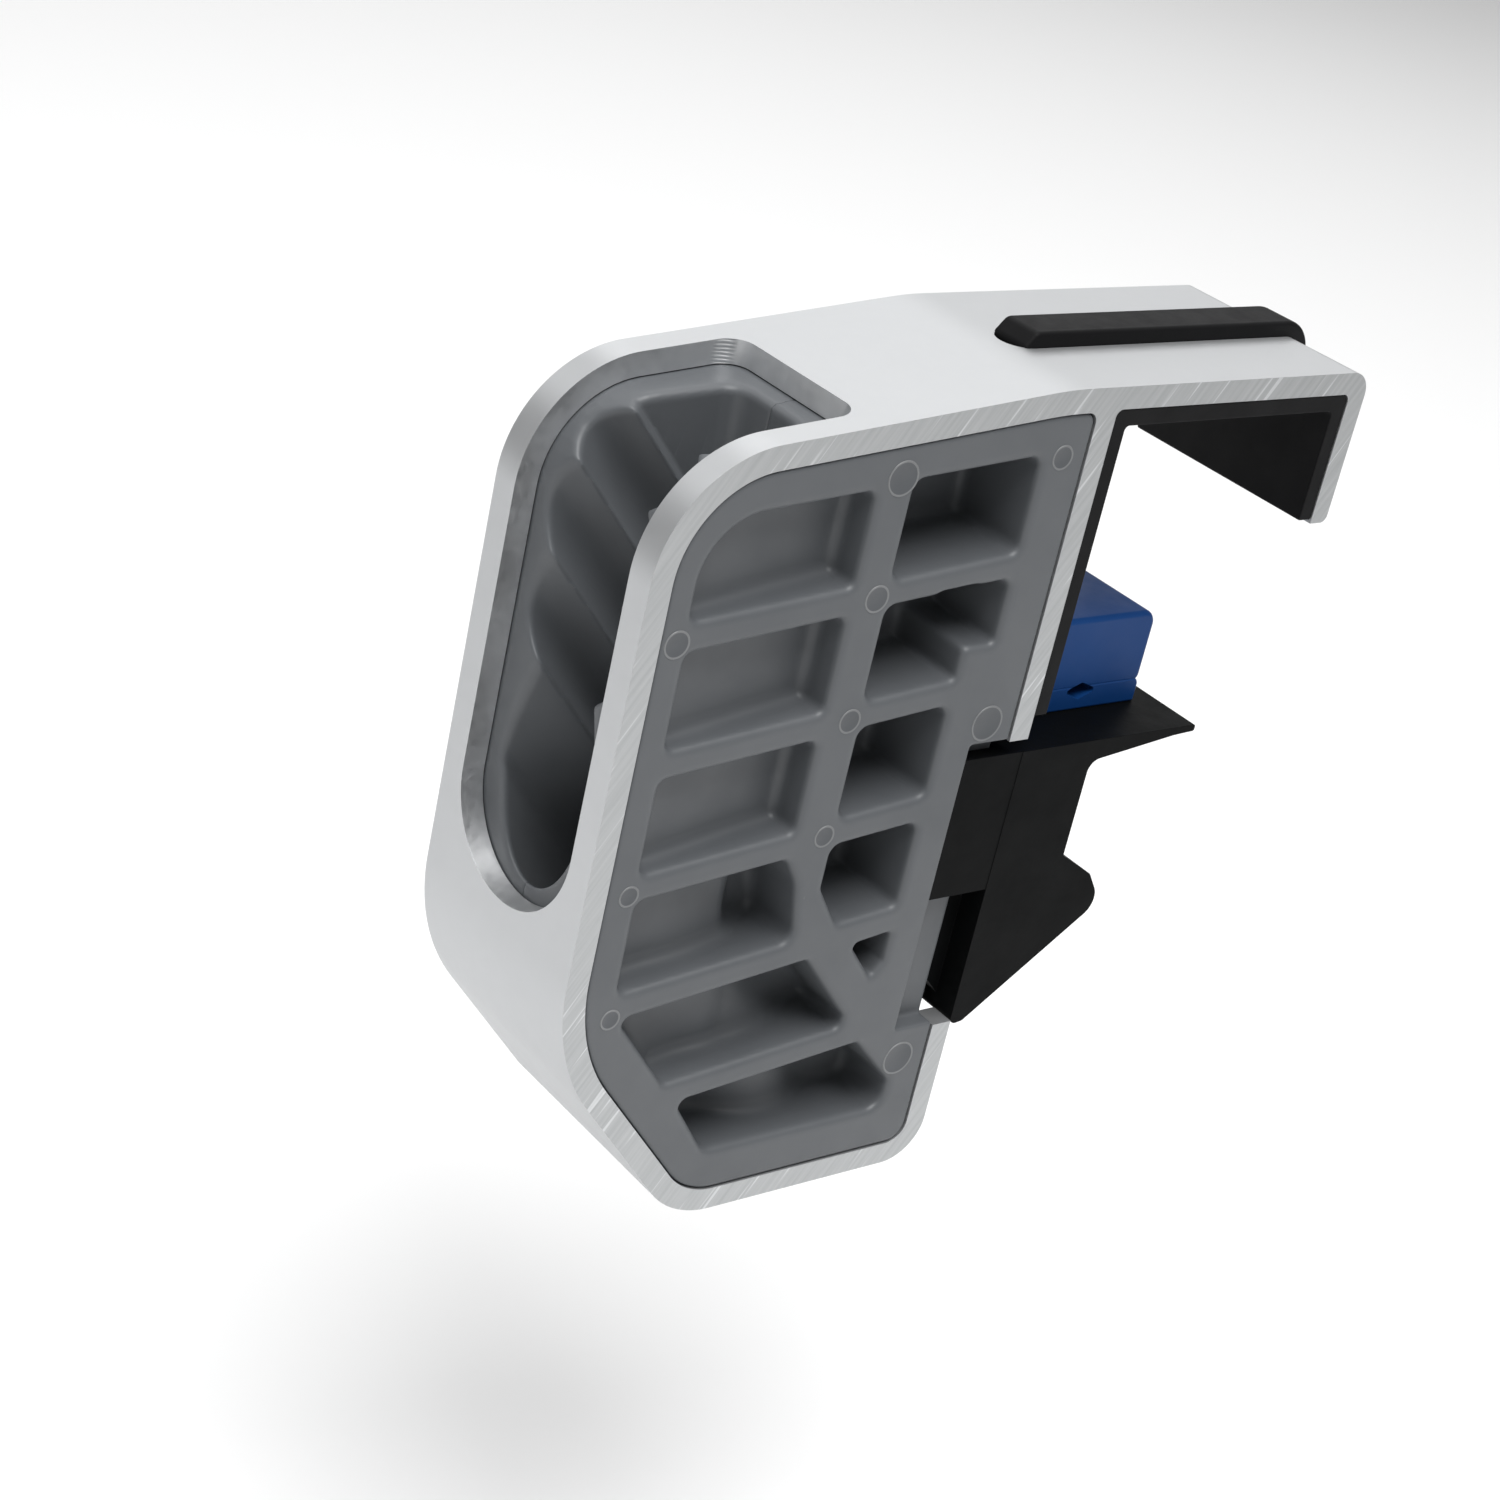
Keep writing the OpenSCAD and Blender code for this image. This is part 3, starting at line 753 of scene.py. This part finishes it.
def latch():
    """The sliding latch: tongue, finger ledge, cheeks and its carriage in the jaws."""
    outer = prism("outer", rounded([
        (LATCH_FACE_X, LATCH_TOP, 0), (LATCH_FACE_X, -41, 1), (2.4, -40.7, 1.2), (21.5, -26.4, 2.8),
        (18.4, -21.9, 1.2), (12.5, -18.3, 0.4), (12.5, -4.95, 1.8), (26.5, -3.1, 8),
        (TONGUE_REACH, -2.9, 0.3), (TONGUE_REACH, LATCH_TOP, 0.3)], 6), -LATCH_HALF, LATCH_HALF)
    inside = LATCH_HALF - 0.08
    parts = [
        prism("fill", rectangle(CORE_X, CHEEK_LOW, LATCH_FACE_X + 0.5, LATCH_TOP), -inside, inside),
        prism("core", [(CORE_X, LATCH_TOP), (CORE_X, CORE_LOW + 3.2), (LATCH_FACE_X, CORE_LOW),
                       (LATCH_FACE_X + 1, CORE_LOW), (LATCH_FACE_X + 1, LATCH_TOP)], -CORE_HALF, CORE_HALF),
        prism("neck", rectangle(-6.2, -20.6, 0, -2.6), -2.5, 2.5),
        prism("head", rectangle(-12.6, -20.6, -6.2, -2.6), -4.5, 4.5),
    ]
    for low, high in ((inside - CHEEK_T, inside), (-inside, CHEEK_T - inside)):
        parts.append(prism("cheek", rectangle(-9, CHEEK_LOW, LATCH_FACE_X, LATCH_TOP), low, high))
    combine(outer, parts, "UNION")
    hollow = rounded([(-5, -33, 0), (1, -36, 1), (9.5, -29.5, 1), (9.5, -5.5, 1), (-5, -5.5, 0)])
    cutters = [prism("hollow", hollow, low, high) for low, high in ((2.5, 9.8), (-9.8, -2.5))]
    cutters.append(prism("foot", rectangle(11, LATCH_TOP - 1.2, 19, LATCH_TOP + 1), -4, 4))
    combine(outer, cutters, "DIFFERENCE")
    soften(outer, 0.3, segments=3)
    outer.data.materials.append(LATCH)
    outer.name = "latch_slider"
    return settle(outer, "latch", "latch_plastic", "latch")


def bumper():
    """The soft block on the tongue, in two lobes with a lozenge-shaped hollow."""
    low, high, half = 8.2, 26.0, 7.0
    lower = prism("lower", rounded([
        (low, LATCH_TOP, 0.3), (high, LATCH_TOP, 0.3), (high, 1.3, 1), (low, 1.3, 1)]), -half, half)
    upper = prism("upper", rounded([
        (low, 0.8, 1), (high, 0.8, 1), (high, 10.7, 2), (low, 10.7, 2)]), -half, half)
    for lobe in (lower, upper):
        soften(lobe, 0.7, segments=4)
    foot = prism("foot", rectangle(11, LATCH_TOP - 1.2, 19, LATCH_TOP + 0.5), -4, 4)
    combine(lower, [upper, foot], "UNION")
    hollow = prism("hollow", rounded([
        (12.9, 0.6, 0.4), (15.8, -0.6, 0.4), (18.7, 0.6, 0.4), (15.8, 1.8, 0.4)]), -10, 10)
    combine(lower, [hollow], "DIFFERENCE")
    shade(lower, 35)
    lower.data.materials.clear()
    lower.data.materials.append(BUMPER)
    lower.name = "bumper"
    return settle(lower, "latch", "bumper_rubber", "latch_bumper")


def screws():
    """Three socket screws, sunk into the far jaw."""
    bm = bmesh.new()
    for x, z in SCREWS:
        shank = prism("shank", disc(x, z, 1.25, 32), -11, 10.6)
        head = prism("head", disc(x, z, 2.1, 48), 10.5, 12.3)
        combine(head, [prism("socket", disc(x, z, 1.1, 6), 11, 13)], "DIFFERENCE")
        soften(head, 0.2)
        for piece in (shank, head):
            bm.from_mesh(piece.data)
            bpy.data.objects.remove(piece)
    obj = shade(new_object("jaw_screw_set", bm))
    obj.data.materials.clear()
    obj.data.materials.append(STEEL)
    return settle(obj, "root", "screw_steel", "jaw_screws")


def spring():
    """The coil under the latch's carriage, built at one fixed length; the real one shortens as the latch is
    pulled down.
    """
    x, low, high = -9.4, -54.0, -20.6
    radius, wire, turns, per_turn, sides = 2.7, 0.35, 11, 24, 8
    bm = bmesh.new()
    rings = []
    for i in range(turns * per_turn + 1):
        turn = i / per_turn
        angle = 2 * math.pi * turn
        share = min(max((turn - 0.75) / (turns - 1.5), 0), 1)
        z = low + wire + (high - low - 2 * wire) * share
        rings.append([bm.verts.new((x + (radius + wire * math.cos(b)) * math.cos(angle),
                                    (radius + wire * math.cos(b)) * math.sin(angle), z + wire * math.sin(b)))
                      for b in (2 * math.pi * j / sides for j in range(sides))])
    for a, b in zip(rings, rings[1:]):
        for j in range(sides):
            k = (j + 1) % sides
            bm.faces.new((a[j], b[j], b[k], a[k]))
    bm.faces.new(rings[0])
    bm.faces.new(rings[-1][::-1])
    bmesh.ops.recalc_face_normals(bm, faces=bm.faces)
    obj = new_object("return_spring", bm)
    obj.data.shade_smooth()
    obj.data.materials.append(STEEL)
    settle(obj, "root", "spring_steel", "latch_spring")
    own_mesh(obj)
    return obj


# ------------------------------------------------------------------------ looks

def floor():
    bm = bmesh.new()
    bmesh.ops.create_grid(bm, x_segments=1, y_segments=1, size=20)
    obj = new_object("floor", bm)
    obj.location.z = extrusion_low.z - 0.08
    mat, _, _ = material("floor_paint", Base_Color=(0.92, 0.92, 0.92), Roughness=0.8)
    obj.data.materials.append(mat)


def camera():
    """Three-quarter view from the jaw side, tilted as a hand-held product picture."""
    azimuth, elevation, roll = (math.radians(a) for a in (42.28, 25.44, 12.91))
    ahead = Vector((math.sin(azimuth) * math.cos(elevation), math.cos(azimuth) * math.cos(elevation),
                    -math.sin(elevation)))
    data = bpy.data.cameras.new("camera")
    data.lens = 71.74
    data.sensor_width = 36
    data.clip_end = 100
    obj = bpy.data.objects.new("camera", data)
    obj.location = Vector((-0.2629, -0.2347, 0.1054))
    obj.rotation_mode = "QUATERNION"
    obj.rotation_quaternion = ahead.to_track_quat("-Z", "Y") @ Quaternion((0, 0, 1), roll)
    bpy.context.scene.collection.objects.link(obj)
    bpy.context.scene.camera = obj


def area_light(name, location, target, size, power, color=(1, 1, 1)):
    data = bpy.data.lights.new(name, "AREA")
    data.energy = power
    data.size = size
    data.color = color
    obj = bpy.data.objects.new(name, data)
    obj.location = location
    obj.rotation_mode = "QUATERNION"
    obj.rotation_quaternion = (Vector(target) - Vector(location)).to_track_quat("-Z", "Y")
    bpy.context.scene.collection.objects.link(obj)


def lights():
    world = bpy.data.worlds.new("studio")
    world.use_nodes = True
    world.node_tree.nodes["Background"].inputs["Color"].default_value = (1, 1, 1, 1)
    world.node_tree.nodes["Background"].inputs["Strength"].default_value = 0.28
    bpy.context.scene.world = world
    bpy.context.scene.view_settings.view_transform = "Standard"
    middle = (-0.03, 0, -0.03)
    area_light("key", (0.6, 0.75, 0.95), middle, 1.1, 5.5)
    area_light("top", (-0.15, -0.42, 1.2), middle, 0.9, 20)
    area_light("nose", (-0.55, 0.6, 1.0), middle, 1.0, 3.5)


extrusion()
jaw("jaw_half_near", "jaw_near", False, False)
jaw("jaw_half_far", "jaw_far", True, True)
liner()
latch()
bumper()
screws()
spring()
floor()
camera()
lights()
